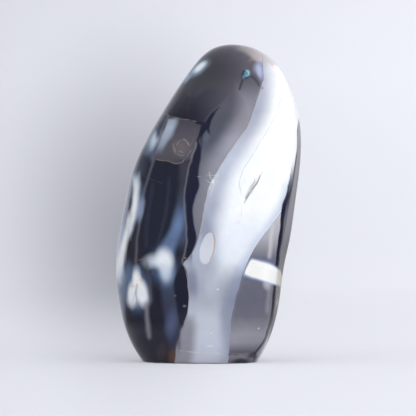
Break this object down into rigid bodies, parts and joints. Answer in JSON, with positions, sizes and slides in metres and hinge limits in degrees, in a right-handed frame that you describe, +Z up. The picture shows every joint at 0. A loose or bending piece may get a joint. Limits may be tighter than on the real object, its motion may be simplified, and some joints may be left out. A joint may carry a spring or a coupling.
{
  "type": "polished orca agate freeform",
  "caption": "Hand-ground upright agate freeform with a domed face, soft facets and a flat-cut foot that it stands on.",
  "frame": {"origin": "on the flat-cut foot, under the centre of the stone's bounding box", "axes": "+Z up through the crown, -Y out of the broad front face, +X towards the flat right wall"},
  "size_m": [0.07, 0.046, 0.12],
  "materials": {
    "polished_agate": "glossy polished, black and grey with white bands"
  },
  "bodies": {
    "root": {"agate": "polished_agate"}
  },
  "joints": []
}
